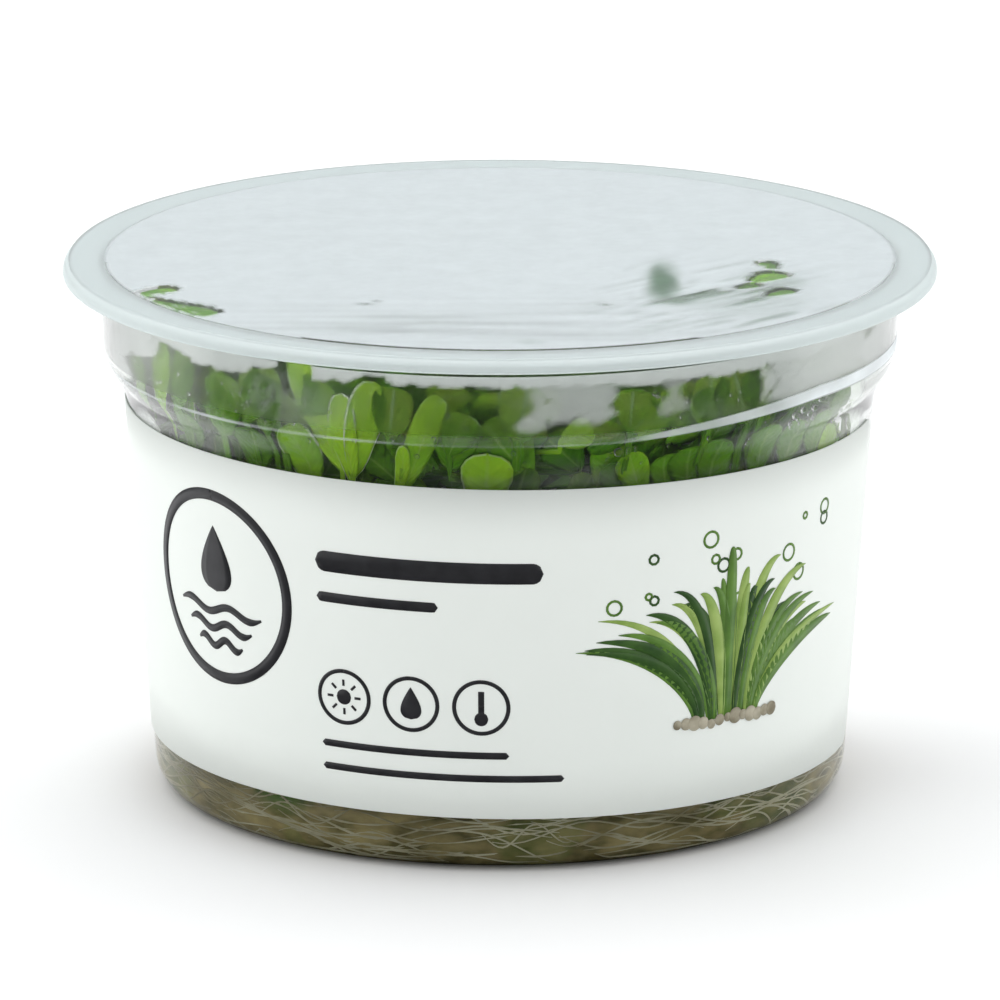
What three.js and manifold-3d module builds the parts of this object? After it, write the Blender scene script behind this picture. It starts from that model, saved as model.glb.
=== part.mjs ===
// A pot of tissue-cultured aquarium plants: a clear flanged cup, sealed with a film and wrapped in a label.
// Inside, small-leaved shoots are rooted in a disc of nutrient gel.
// Millimetres, +Z up. The origin is the centre of the cup's base, and the front of the label faces -Y.
import * as THREE from "three";
import { mergeVertices } from "three/addons/utils/BufferGeometryUtils.js";
import Module from "manifold-3d";

const wasm = await Module();
wasm.setup();

// Cup: driving dimensions
const FLANGE_TOP = 58.5;
const FLANGE_R = 47.5;
const FLANGE_THICK = 0.8;
const LIP_DEPTH = 1.5;
const LIP_THICK = 0.8;
const COLLAR_R = 43.15;
const COLLAR_FLARE = 0.35;
const COLLAR_LOW = 48.2;
const BODY_TOP = 44.6;
const BODY_TOP_R = 40.85;
const BASE_R = 37.96;
const BASE_CORNER = 3.3;
const WALL = 0.6;
const ROUND_SEGMENTS = 48;

// Film: driving dimensions
const FILM_R = 46.9;
const FILM_THICK = 0.15;

// Label: driving dimensions
const LABEL_GAP = 0.1;
const LABEL_THICK = 0.15;
const LABEL_LOW = 6.1;
const LABEL_HIGH = 42.9;
const LABEL_SKEW = 0.012;
const LABEL_CORNER = 2;
const LABEL_GAP_MIDDLE = 95;
const LABEL_GAP_SPAN = 30;
const LABEL_COLUMNS = 48;

// Gel: driving dimensions
const GEL_TOP = 11;
const GEL_MENISCUS = 0.5;
const GEL_CLEARANCE = 0.1;
const POCKET_DEPTH = 4;
const POCKET_CLEARANCE = 0.3;

// Shoots: driving dimensions
const STEM_R = 0.75;
const STEM_TOP_R = 0.45;
const STEM_SIDES = 4;
const LEAF_THICK = 0.5;
const PAIR_LOWEST = 20;
const SPROUT_LENGTH = 4.5;

// Shoots on three rings. Each row is the tip's height, how far the tip leans outward,
// the turn of its first pair of leaves, the reach of its leaves, and its number of pairs.
// The outer ring starts at the front and goes round to the right in steps of 30 degrees.
const OUTER_RING_R = 30;
const OUTER_RING = [
  [49, 3.4, 80, 6.4, 3],
  [47, 3.6, 95, 6.4, 3],
  [45, 3.0, 85, 6.2, 3],
  [46, 2.6, 100, 6.4, 3],
  [50, 3.4, 90, 6.2, 3],
  [52, 3.0, 75, 6.4, 3],
  [50, 2.6, 90, 6.4, 2],
  [52, 3.2, 105, 6.2, 3],
  [53, 3.0, 85, 6.4, 3],
  [51, 3.4, 95, 6.4, 3],
  [52, 4.0, 90, 6.4, 3],
  [50, 3.8, 85, 6.2, 3],
];
// The inner ring has a shoot every 60 degrees, and its third one reaches the film.
const INNER_RING_R = 16;
const INNER_RING_START = 30;
const INNER_RING = [
  [47, 0.5, 40, 6.4, 2],
  [54.2, 1.6, 10, 6.2, 2],
  [48, 0.5, 70, 6.4, 2],
  [47, 0.0, 20, 6.4, 2],
  [49, 0.8, 50, 6.2, 2],
  [46, 0.4, 30, 6.4, 2],
];
const MIDDLE_SHOOT = [46, 0.8, 15, 6, 2];

// Leaves that stand against the clear wall: the shoot on the outer ring, the height where the leaf
// leaves the stem, and the bearing, height and width of its tip. Bearing 0 is the front.
const WALL_LEAVES = [
  [0, 42, -11, 52.6, 4.6],
  [0, 37, -1, 47, 6],
  [1, 44, 20, 53, 5.4],
  [2, 38, 60, 46, 5],
  [10, 44, -68, 55.5, 4],
  [10, 42, -57, 54.6, 5.4],
  [11, 43, -21, 54.6, 6.2],
  [11, 39, -31, 48.2, 5.8],
];
const WALL_LEAF_CLEARANCE = 1;

// Materials
function plastic(color, opacity, roughness) {
  return new THREE.MeshStandardMaterial({ color, roughness, metalness: 0, transparent: opacity < 1, opacity });
}

const clearPlastic = plastic(0xdcebe4, 0.35, 0.15);
const filmPlastic = plastic(0xe4ecf0, 0.5, 0.2);
const labelPaper = plastic(0xe6ece8, 1, 0.45);
const gelMaterial = plastic(0x8a8568, 0.6, 0.25);
const leafMaterial = plastic(0x62902a, 1, 0.5);

// Small helpers

function radians(degrees) {
  return (degrees * Math.PI) / 180;
}

// A point at a radius, a bearing round the cup and a height. Bearing 0 is -Y and grows towards +X.
function around(radius, bearing, z) {
  const angle = radians(bearing);
  return new THREE.Vector3(radius * Math.sin(angle), -radius * Math.cos(angle), z);
}

// Points of a quarter round about a centre, from one angle to another in degrees.
function arc(centreR, centreZ, radius, from, to, steps) {
  const points = [];
  for (let i = 0; i <= steps; i++) {
    const angle = radians(from + ((to - from) * i) / steps);
    points.push(new THREE.Vector2(centreR + radius * Math.cos(angle), centreZ + radius * Math.sin(angle)));
  }
  return points;
}

// A solid turned about the Z axis from a closed outline of radius and height.
function turned(outline) {
  const geometry = new THREE.LatheGeometry(outline, ROUND_SEGMENTS);
  geometry.rotateX(Math.PI / 2);
  return geometry;
}

// A closed solid through rings of points, with a fan to a point on each end. The points are the
// middles of the end rings unless they are given.
function loft(rings, start = middleOf(rings[0]), end = middleOf(rings.at(-1))) {
  const sides = rings[0].length;
  const positions = [...rings.flat(), start, end].flatMap((p) => p.toArray());
  const startIndex = rings.length * sides;
  const lastRow = startIndex - sides;
  const index = [];
  for (let side = 0; side < sides; side++) {
    const next = (side + 1) % sides;
    index.push(startIndex, next, side);
    index.push(startIndex + 1, lastRow + side, lastRow + next);
    for (let row = 0; row < lastRow; row += sides) {
      const a = row + side;
      const b = row + next;
      index.push(a, b, b + sides, a, b + sides, a + sides);
    }
  }
  const geometry = new THREE.BufferGeometry();
  geometry.setAttribute("position", new THREE.Float32BufferAttribute(positions, 3));
  geometry.setIndex(index);
  return geometry;
}

function middleOf(ring) {
  return ring.reduce((sum, p) => sum.add(p), new THREE.Vector3()).divideScalar(ring.length);
}

function toSolid(geometry) {
  const bare = geometry.clone();
  bare.deleteAttribute("normal");
  bare.deleteAttribute("uv");
  const merged = mergeVertices(bare, 1e-4);
  return new wasm.Manifold(
    new wasm.Mesh({
      numProp: 3,
      vertProperties: new Float32Array(merged.attributes.position.array),
      triVerts: new Uint32Array(merged.index.array),
    }),
  );
}

function toGeometry(solid) {
  const mesh = solid.getMesh();
  const geometry = new THREE.BufferGeometry();
  geometry.setAttribute("position", new THREE.Float32BufferAttribute(mesh.vertProperties, 3));
  geometry.setIndex(new THREE.Uint32BufferAttribute(mesh.triVerts, 1));
  return geometry;
}

function named(name, geometry, material) {
  geometry.computeVertexNormals();
  const mesh = new THREE.Mesh(geometry, material);
  mesh.name = name;
  return mesh;
}

// Cup

// The outer radius of the tapered body at a height.
function bodyRadius(z) {
  return BASE_R + ((BODY_TOP_R - BASE_R) * (z - BASE_CORNER)) / (BODY_TOP - BASE_CORNER);
}

// The S-shaped step from the body out to the collar, as a smooth curve moved in by an inset.
function step(inset) {
  const points = [];
  const steps = 3;
  for (let i = 0; i <= steps; i++) {
    const t = i / steps;
    const out = t * t * (3 - 2 * t);
    const radius = BODY_TOP_R + (COLLAR_R - BODY_TOP_R) * out - inset;
    points.push(new THREE.Vector2(radius, BODY_TOP + (COLLAR_LOW - BODY_TOP) * t));
  }
  return points;
}

function cup() {
  const sheetLow = FLANGE_TOP - FLANGE_THICK;
  const lipLow = FLANGE_TOP - LIP_DEPTH;
  const lipIn = FLANGE_R - LIP_THICK;
  const edge = 0.25;
  const cornerR = BASE_R - BASE_CORNER;
  const collarTopR = COLLAR_R + COLLAR_FLARE;
  const outline = [
    new THREE.Vector2(0, 0),
    ...arc(cornerR, BASE_CORNER, BASE_CORNER, -90, 0, 3),
    ...step(0),
    new THREE.Vector2(collarTopR, sheetLow - edge),
    new THREE.Vector2(collarTopR + edge, sheetLow),
    new THREE.Vector2(lipIn, sheetLow),
    new THREE.Vector2(lipIn, lipLow),
    new THREE.Vector2(FLANGE_R, lipLow),
    new THREE.Vector2(FLANGE_R, FLANGE_TOP - edge),
    new THREE.Vector2(FLANGE_R - edge, FLANGE_TOP),
    new THREE.Vector2(collarTopR - WALL + edge, FLANGE_TOP),
    new THREE.Vector2(collarTopR - WALL, FLANGE_TOP - edge),
    ...step(WALL).reverse(),
    ...arc(cornerR, BASE_CORNER, BASE_CORNER - WALL, 0, -90, 3),
    new THREE.Vector2(0, WALL),
  ];
  return named("cup", turned(outline), clearPlastic);
}

// Film

function sealFilm() {
  const outline = [
    new THREE.Vector2(0, FLANGE_TOP),
    new THREE.Vector2(FILM_R, FLANGE_TOP),
    new THREE.Vector2(FILM_R, FLANGE_TOP + FILM_THICK),
    new THREE.Vector2(0, FLANGE_TOP + FILM_THICK),
  ];
  return named("seal_film", turned(outline), filmPlastic);
}

// Label

// How far the label's edge is drawn in at its rounded corners, at a distance from its end.
function cornerInset(distance) {
  if (distance >= LABEL_CORNER) return 0;
  return LABEL_CORNER - Math.sqrt(LABEL_CORNER ** 2 - (LABEL_CORNER - distance) ** 2);
}

// One upright section of the label: inner low, inner high, outer high and outer low corners.
function labelSection(bearing, inset) {
  const skew = -LABEL_SKEW * BODY_TOP_R * Math.sin(radians(bearing));
  const low = LABEL_LOW + inset + skew;
  const high = LABEL_HIGH - inset + skew;
  const corner = (z, out) => around(bodyRadius(z) + LABEL_GAP + out, bearing, z);
  return [corner(low, 0), corner(high, 0), corner(high, LABEL_THICK), corner(low, LABEL_THICK)];
}

function label() {
  const first = LABEL_GAP_MIDDLE + LABEL_GAP_SPAN / 2;
  const wrap = 360 - LABEL_GAP_SPAN;
  const millimetres = radians(wrap) * bodyRadius((LABEL_LOW + LABEL_HIGH) / 2);
  const distances = [];
  for (const turn of [25, 50, 90]) distances.push(LABEL_CORNER * (1 - Math.cos(radians(turn))));
  const ends = distances.map((d) => millimetres - d).reverse();
  const between = LABEL_COLUMNS - 2 * distances.length;
  for (let i = 1; i < between; i++) {
    distances.push(LABEL_CORNER + ((millimetres - 2 * LABEL_CORNER) * i) / between);
  }
  distances.push(...ends);
  const rings = distances.map((d) => {
    const bearing = first + (wrap * d) / millimetres;
    return labelSection(bearing, cornerInset(Math.min(d, millimetres - d)));
  });
  return named("label", loft(rings), labelPaper);
}

// Gel

function gel(feet) {
  const cornerR = BASE_R - BASE_CORNER - GEL_CLEARANCE;
  const wallR = bodyRadius(GEL_TOP + GEL_MENISCUS) - WALL - GEL_CLEARANCE;
  const outline = [
    new THREE.Vector2(0, WALL),
    ...arc(cornerR, BASE_CORNER, BASE_CORNER - WALL, -90, 0, 3),
    new THREE.Vector2(wallR, GEL_TOP + GEL_MENISCUS),
    new THREE.Vector2(wallR - GEL_MENISCUS, GEL_TOP),
    new THREE.Vector2(0, GEL_TOP),
  ];
  let solid = toSolid(turned(outline));
  const pocketHeight = POCKET_DEPTH + POCKET_CLEARANCE;
  for (const foot of feet) {
    const pocket = new THREE.CylinderGeometry(
      STEM_R + POCKET_CLEARANCE,
      STEM_R + POCKET_CLEARANCE,
      2 * pocketHeight,
      STEM_SIDES,
    );
    pocket.rotateX(Math.PI / 2);
    pocket.translate(foot.x, foot.y, GEL_TOP);
    solid = solid.subtract(toSolid(pocket));
  }
  return named("gel", toGeometry(solid), gelMaterial);
}

// Shoots

// The stem's line: straight up out of the gel, then leaning outward along the shoot's bearing.
function stemLine(foot, bearing, height, lean) {
  const out = around(1, bearing, 0);
  return (z) => {
    const t = Math.max(0, (z - GEL_TOP) / (height - GEL_TOP));
    return foot.clone().addScaledVector(out, lean * t * t).setZ(z);
  };
}

function stem(line, height) {
  const heights = [GEL_TOP - POCKET_DEPTH, GEL_TOP, (GEL_TOP + height) / 2, height];
  const rings = heights.map((z) => {
    const t = Math.max(0, (z - GEL_TOP) / (height - GEL_TOP));
    const radius = STEM_R + (STEM_TOP_R - STEM_R) * t;
    const centre = line(z);
    return Array.from({ length: STEM_SIDES }, (_, side) => {
      const angle = (2 * Math.PI * side) / STEM_SIDES;
      return new THREE.Vector3(radius * Math.cos(angle), radius * Math.sin(angle), 0).add(centre);
    });
  });
  return toSolid(loft(rings));
}

// A leaf from its base to its tip: a narrow stalk that widens to a rounded blade, ridged along the middle.
// Each station is how far along it lies, its share of the width, and its share of the thickness.
const LEAF_STATIONS = [
  [0.22, 0.3, 1],
  [0.6, 1, 1],
  [0.88, 0.76, 0.7],
];

function leaf(base, tip, face, width, droop) {
  const along = tip.clone().sub(base);
  const side = along.clone().cross(face).normalize();
  const up = side.clone().cross(along).normalize();
  const rings = LEAF_STATIONS.map(([t, wide, thick]) => {
    const centre = base.clone().addScaledVector(along, t);
    centre.addScaledVector(up, droop * 4 * t * (1 - t));
    const across = side.clone().multiplyScalar((width / 2) * wide);
    const through = up.clone().multiplyScalar((LEAF_THICK / 2) * thick);
    return [
      centre.clone().add(across),
      centre.clone().sub(through),
      centre.clone().sub(across),
      centre.clone().add(through),
    ];
  });
  return toSolid(loft(rings, base, tip));
}

// Opposite pairs of leaves up the stem, each pair turned a right angle from the one below,
// and two small upright leaves at the tip.
function leafPairs(line, height, bearing, turn, reach, pairs) {
  const leaves = [];
  const up = new THREE.Vector3(0, 0, 1);
  for (let i = 0; i < pairs; i++) {
    const z = PAIR_LOWEST + ((height - 3 - PAIR_LOWEST) * i) / (pairs - 1);
    const rise = 2.5 + 1.2 * i;
    for (const half of [0, 180]) {
      const out = around(1, bearing + turn + 90 * i + half, 0);
      const base = line(z);
      const tip = base.clone().addScaledVector(out, reach).setZ(z + rise);
      leaves.push(leaf(base, tip, up, 0.72 * reach, 0.6));
    }
  }
  for (const half of [0, 180]) {
    const out = around(1, bearing + turn + 45 + half, 0);
    const base = line(height - 0.3);
    const tip = base.clone().addScaledVector(out, SPROUT_LENGTH * 0.45).setZ(height + SPROUT_LENGTH * 0.8);
    leaves.push(leaf(base, tip, out, SPROUT_LENGTH * 0.6, 0.3));
  }
  return leaves;
}

// The inner radius of the cup at a height on the body or the collar.
function innerRadius(z) {
  return (z < COLLAR_LOW ? bodyRadius(z) : COLLAR_R) - WALL;
}

function wallLeaf(line, [, low, bearing, high, width]) {
  const radius = innerRadius(Math.min(high, BODY_TOP)) - WALL_LEAF_CLEARANCE;
  const tip = around(radius, bearing, high);
  return leaf(line(low), tip, around(1, bearing, 0), width, 0.8);
}

function shoot(name, radius, bearing, [height, lean, turn, reach, pairs], wallRows) {
  const foot = around(radius, bearing, 0);
  const line = stemLine(foot, bearing, height, lean);
  let solid = stem(line, height);
  for (const piece of leafPairs(line, height, bearing, turn, reach, pairs)) solid = solid.add(piece);
  for (const row of wallRows) solid = solid.add(wallLeaf(line, row));
  return { mesh: named(name, toGeometry(solid), leafMaterial), foot };
}

function shoots() {
  const rows = OUTER_RING.map((row, i) => {
    const wallRows = WALL_LEAVES.filter(([ring]) => ring === i);
    return [OUTER_RING_R, (360 / OUTER_RING.length) * i, row, wallRows];
  });
  INNER_RING.forEach((row, i) => {
    rows.push([INNER_RING_R, INNER_RING_START + (360 / INNER_RING.length) * i, row, []]);
  });
  rows.push([0, 0, MIDDLE_SHOOT, []]);
  return rows.map((row, i) => shoot("shoot_" + String(i + 1).padStart(2, "0"), ...row));
}

// Assembly

const group = new THREE.Group();
const plants = shoots();
group.add(cup());
group.add(sealFilm());
group.add(label());
group.add(gel(plants.map((plant) => plant.foot)));
for (const plant of plants) group.add(plant.mesh);

export default group;
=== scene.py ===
import math
import random

import bmesh
import bpy
from mathutils import Matrix, Vector, bvhtree, kdtree, noise


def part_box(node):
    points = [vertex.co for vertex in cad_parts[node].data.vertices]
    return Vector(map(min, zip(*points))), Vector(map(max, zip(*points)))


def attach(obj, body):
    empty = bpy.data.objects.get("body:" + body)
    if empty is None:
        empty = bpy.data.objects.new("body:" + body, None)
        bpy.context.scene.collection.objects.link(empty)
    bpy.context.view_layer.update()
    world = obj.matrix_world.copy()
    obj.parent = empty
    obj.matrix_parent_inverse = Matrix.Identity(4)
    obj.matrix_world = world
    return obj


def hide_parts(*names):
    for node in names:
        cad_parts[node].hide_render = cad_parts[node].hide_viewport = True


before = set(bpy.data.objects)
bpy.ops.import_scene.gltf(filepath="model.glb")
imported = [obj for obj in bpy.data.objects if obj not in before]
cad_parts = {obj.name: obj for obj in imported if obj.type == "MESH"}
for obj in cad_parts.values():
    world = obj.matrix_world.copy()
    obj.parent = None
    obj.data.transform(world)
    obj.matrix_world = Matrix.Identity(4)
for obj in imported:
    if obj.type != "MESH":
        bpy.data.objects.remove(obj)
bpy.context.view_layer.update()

# Camera
# A long lens about a metre in front of the label looks down on the cup at the photograph's angle.
CAMERA_RISE = math.radians(14.86)
CAMERA_DISTANCE = 1.0385
AIM_HEIGHT = 0.031
LENS_MM = 341.5
SENSOR_MM = 36

camera_data = bpy.data.cameras.new("camera")
camera_data.lens = LENS_MM
camera_data.sensor_width = SENSOR_MM
camera = bpy.data.objects.new("camera", camera_data)
camera.location = (
    0,
    -CAMERA_DISTANCE * math.cos(CAMERA_RISE),
    AIM_HEIGHT + CAMERA_DISTANCE * math.sin(CAMERA_RISE),
)
camera.rotation_euler = (math.pi / 2 - CAMERA_RISE, 0, 0)
bpy.context.collection.objects.link(camera)
bpy.context.scene.camera = camera

# Studio
# A white sweep in a light tent: the back of the tent is brighter than the side that the camera
# looks in from, and soft lamps on both sides light the cup's sides more than its front. The tent
# shines dimmer in mirrors, and the floor in front is painted dark where the clear plastic mirrors it.
TENT_FRONT = 0.38
TENT_BACK = 0.95
TENT_MIRRORED = 0.3
FLOOR_HALF = 4
FLOOR_DROP = 0.00005
FLOOR_WHITE = (0.9, 0.9, 0.9)
FLOOR_MIRRORED = (0.05, 0.05, 0.05)
# The floor's painted dark reflection is full in front of the first depth and gone by the second, in metres.
MIRROR_DARK_FROM = -0.03
MIRROR_DARK_TO = -0.005
# Lamps, by name: place, width of the square and watts.
LAMPS = [
    ("lamp_left", (-1.1, -0.1, 0.45), 1.6, 5.8),
    ("lamp_right", (1.1, -0.05, 0.5), 1.6, 4.6),
    ("lamp_top", (0, 0.25, 1.3), 1.8, 14),
]
AIM = Vector((0, 0, 0.03))


def new_object(name, bm):
    """A finished bmesh as a smooth object in the scene."""
    mesh = bpy.data.meshes.new(name)
    for face in bm.faces:
        face.smooth = True
    bm.to_mesh(mesh)
    bm.free()
    piece = bpy.data.objects.new(name, mesh)
    bpy.context.collection.objects.link(piece)
    return piece


def new_material(name, values):
    """A material, its node tree and its main shader, with values set on the shader's sockets."""
    material = bpy.data.materials.new(name)
    material.use_nodes = True
    shader = material.node_tree.nodes["Principled BSDF"]
    for socket, value in values.items():
        shader.inputs[socket].default_value = value
    return material, material.node_tree, shader


def feed(tree, value, socket):
    """Links an output to a socket, or sets the socket to a plain value."""
    if isinstance(value, bpy.types.NodeSocket):
        tree.links.new(value, socket)
    else:
        socket.default_value = value


def add_math(tree, operation, *values, clamp=False):
    """The result of a sum. Each of its values is a number or another output."""
    node = tree.nodes.new("ShaderNodeMath")
    node.operation = operation
    node.use_clamp = clamp
    for value, socket in zip(values, node.inputs):
        feed(tree, value, socket)
    return node.outputs["Value"]


def add_range(tree, value, from_min=0, from_max=1, to_min=0, to_max=1):
    """An output moved from one range to another, and kept within it."""
    node = tree.nodes.new("ShaderNodeMapRange")
    for given, socket in zip((value, from_min, from_max, to_min, to_max), node.inputs):
        feed(tree, given, socket)
    return node.outputs["Result"]


def add_colours(tree, mask, low, high):
    """A colour that goes from low to high with a mask. Either end is a colour or another output."""
    mix = tree.nodes.new("ShaderNodeMix")
    mix.data_type = "RGBA"
    tree.links.new(mask, mix.inputs["Factor"])
    for name, colour in (("A", low), ("B", high)):
        feed(tree, (*colour, 1) if isinstance(colour, tuple) else colour, mix.inputs[name])
    return mix.outputs["Result"]


def add_back(tree, coordinates):
    """How far back a place or a direction lies."""
    place = tree.nodes.new("ShaderNodeTexCoord")
    axes = tree.nodes.new("ShaderNodeSeparateXYZ")
    tree.links.new(place.outputs[coordinates], axes.inputs["Vector"])
    return axes.outputs["Y"]


world = bpy.data.worlds.new("studio")
world.use_nodes = True
sky = world.node_tree
tent = sky.nodes["Background"]
tent.inputs["Color"].default_value = (0.97, 0.985, 1, 1)
tent_light = add_range(sky, add_back(sky, "Generated"), -1, 1, TENT_FRONT, TENT_BACK)
tent_path = sky.nodes.new("ShaderNodeLightPath").outputs
tent_in_mirror = add_math(sky, "SUBTRACT", tent_path["Glossy Depth"], tent_path["Diffuse Depth"])
tent_flag = add_range(sky, tent_in_mirror, 0, 1, 1, TENT_MIRRORED)
sky.links.new(add_math(sky, "MULTIPLY", tent_light, tent_flag), tent.inputs["Strength"])
bpy.context.scene.world = world
bpy.context.scene.view_settings.view_transform = "Standard"

for name, place, size, watts in LAMPS:
    lamp_data = bpy.data.lights.new(name, "AREA")
    lamp_data.size = size
    lamp_data.energy = watts
    lamp = bpy.data.objects.new(name, lamp_data)
    lamp.location = place
    lamp.rotation_euler = (AIM - Vector(place)).to_track_quat("-Z", "Y").to_euler()
    bpy.context.collection.objects.link(lamp)

floor_bm = bmesh.new()
bmesh.ops.create_grid(floor_bm, x_segments=1, y_segments=1, size=FLOOR_HALF)
bmesh.ops.translate(floor_bm, vec=(0, 0, -FLOOR_DROP), verts=floor_bm.verts)
floor = new_object("floor", floor_bm)
floor_paint, floor_tree, floor_shader = new_material("floor_paint", {"Roughness": 0.9})
# Painted dark reflection: the floor in front is coloured dark only where it is seen in a mirror.
painted_dark_front = add_range(floor_tree, add_back(floor_tree, "Object"), MIRROR_DARK_TO, MIRROR_DARK_FROM)
floor_path = floor_tree.nodes.new("ShaderNodeLightPath").outputs
painted_dark_reflection = add_math(floor_tree, "MULTIPLY", painted_dark_front, floor_path["Glossy Depth"], clamp=True)
floor_white = add_colours(floor_tree, painted_dark_reflection, FLOOR_WHITE, FLOOR_MIRRORED)
floor_tree.links.new(floor_white, floor_shader.inputs["Base Color"])
floor.data.materials.append(floor_paint)

# Cup
# A tub drawn in one piece from a clear sheet: flat base, tapered body, a step out to the collar,
# and a flange with its edge turned down. The flange isn't stretched, so it stays thick and milky.
MM = 0.001
_, cup_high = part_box("cup")
FLANGE_TOP = cup_high.z
FLANGE_R = cup_high.x
FLANGE_SHEET = 0.8 * MM
LIP_DEPTH = 1.5 * MM
LIP_THICK = 0.8 * MM
COLLAR_R = 43.15 * MM
COLLAR_TOP_R = 43.5 * MM
COLLAR_LOW = 48.2 * MM
BODY_TOP = 44.6 * MM
BODY_TOP_R = 40.85 * MM
BASE_R = 37.96 * MM
BASE_CORNER = 3.3 * MM
WALL = 0.6 * MM
TURN_STEPS = 192
WALL_TINT = (0.96, 0.985, 0.97)
FLANGE_TINT = (0.77, 0.835, 0.83)
# The inside of the collar is damp. Along the bend at its foot a white highlight is painted on,
# as a fine line and a faint band above it, at heights in millimetres.
DAMP_FROM = 49 * MM
HIGHLIGHT_LOW = 47.4 * MM
HIGHLIGHT_HIGH = 51 * MM
HIGHLIGHT_LINE = 48.13
HIGHLIGHT_BAND = 48.75
HIGHLIGHT_ROWS = 36
HIGHLIGHT_STEPS = 288
HIGHLIGHT_PROUD = 0.015 * MM
HIGHLIGHT_WHITE = (0.9, 0.95, 0.97)
# Painted green shade on the fog, where leaves lie close behind it.
FOG_SHADE = (0.15, 0.25, 0.17)


def body_radius(z):
    """The outer radius of the tapered body at a height."""
    return BASE_R + (BODY_TOP_R - BASE_R) * (z - BASE_CORNER) / (BODY_TOP - BASE_CORNER)


def inner_radius(z):
    """The inner radius of the cup at a height: the body, the step or the collar."""
    if z < BODY_TOP:
        return body_radius(z) - WALL
    step = min(1, (z - BODY_TOP) / (COLLAR_LOW - BODY_TOP))
    return BODY_TOP_R + (COLLAR_R - BODY_TOP_R) * step - WALL


def spun(bm, steps):
    """Turns the profile that a bmesh holds once round the axis, and closes its seam and its poles."""
    bmesh.ops.spin(
        bm, geom=bm.verts[:] + bm.edges[:], cent=(0, 0, 0), axis=(0, 0, 1),
        angle=2 * math.pi, steps=steps, use_merge=True,
    )
    bmesh.ops.remove_doubles(bm, verts=bm.verts, dist=1e-6)
    bmesh.ops.recalc_face_normals(bm, faces=bm.faces)


def turned(outline):
    """A round solid from an outline of (radius, height, rounding) that starts and ends on the axis."""
    bm = bmesh.new()
    corners = [bm.verts.new((radius, 0, height)) for radius, height, _ in outline]
    bm.faces.new(corners)
    for corner, (_, _, rounding) in zip(corners, outline):
        if rounding:
            bmesh.ops.bevel(
                bm, geom=[corner], offset=rounding, offset_type="OFFSET", segments=6,
                profile=0.5, affect="VERTICES", material=-1,
            )
    bmesh.ops.delete(bm, geom=bm.faces[:], context="FACES_ONLY")
    on_axis = [e for e in bm.edges if all(v.co.x < 1e-7 for v in e.verts)]
    bmesh.ops.delete(bm, geom=on_axis, context="EDGES")
    spun(bm, TURN_STEPS)
    return bm


def skin(line, steps):
    """A thin round skin turned from a line of (radius, height)."""
    bm = bmesh.new()
    points = [bm.verts.new((radius, 0, height)) for radius, height in line]
    for pair in zip(points, points[1:]):
        bm.edges.new(pair)
    spun(bm, steps)
    return bm


def paint(bm, name, value):
    """Keeps under a name, for each vertex, the value that its place gives."""
    layer = bm.verts.layers.float.new(name)
    for vert in bm.verts:
        vert[layer] = value(vert.co)


def new_mottle():
    """A node group for the soft blotches of natural and moulded surfaces, as a mask from 0 to 1."""
    group = bpy.data.node_groups.new("mottle", "ShaderNodeTree")
    group.interface.new_socket("Scale", in_out="INPUT", socket_type="NodeSocketFloat")
    group.interface.new_socket("Stretch", in_out="INPUT", socket_type="NodeSocketVector")
    group.interface.new_socket("Contrast", in_out="INPUT", socket_type="NodeSocketFloat")
    group.interface.new_socket("Mask", in_out="OUTPUT", socket_type="NodeSocketFloat")
    given = group.nodes.new("NodeGroupInput").outputs
    result = group.nodes.new("NodeGroupOutput")
    place = group.nodes.new("ShaderNodeTexCoord")
    stretch = group.nodes.new("ShaderNodeMapping")
    blotches = group.nodes.new("ShaderNodeTexNoise")
    blotches.inputs["Detail"].default_value = 4
    group.links.new(place.outputs["Object"], stretch.inputs["Vector"])
    group.links.new(given["Stretch"], stretch.inputs["Scale"])
    group.links.new(stretch.outputs["Vector"], blotches.inputs["Vector"])
    group.links.new(given["Scale"], blotches.inputs["Scale"])
    centred = add_math(group, "SUBTRACT", blotches.outputs["Fac"], 0.5)
    sharper = add_math(group, "MULTIPLY_ADD", centred, given["Contrast"], 0.5, clamp=True)
    group.links.new(sharper, result.inputs["Mask"])
    return group


mottle = new_mottle()


def add_mottle(tree, scale, contrast, stretch=(1, 1, 1)):
    """The mask of the mottle group, placed in a material with its own values."""
    node = tree.nodes.new("ShaderNodeGroup")
    node.node_tree = mottle
    node.inputs["Scale"].default_value = scale
    node.inputs["Stretch"].default_value = stretch
    node.inputs["Contrast"].default_value = contrast
    return node.outputs["Mask"]


def add_attribute(tree, name):
    """The value that the mesh keeps under a name."""
    node = tree.nodes.new("ShaderNodeAttribute")
    node.attribute_name = name
    return node.outputs["Fac"]


def add_bump(tree, shader, height, distance, strength=1.0):
    """Feeds a height mask to the shader's normal."""
    bump = tree.nodes.new("ShaderNodeBump")
    bump.inputs["Distance"].default_value = distance
    bump.inputs["Strength"].default_value = strength
    tree.links.new(height, bump.inputs["Height"])
    tree.links.new(bump.outputs["Normal"], shader.inputs["Normal"])


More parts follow.
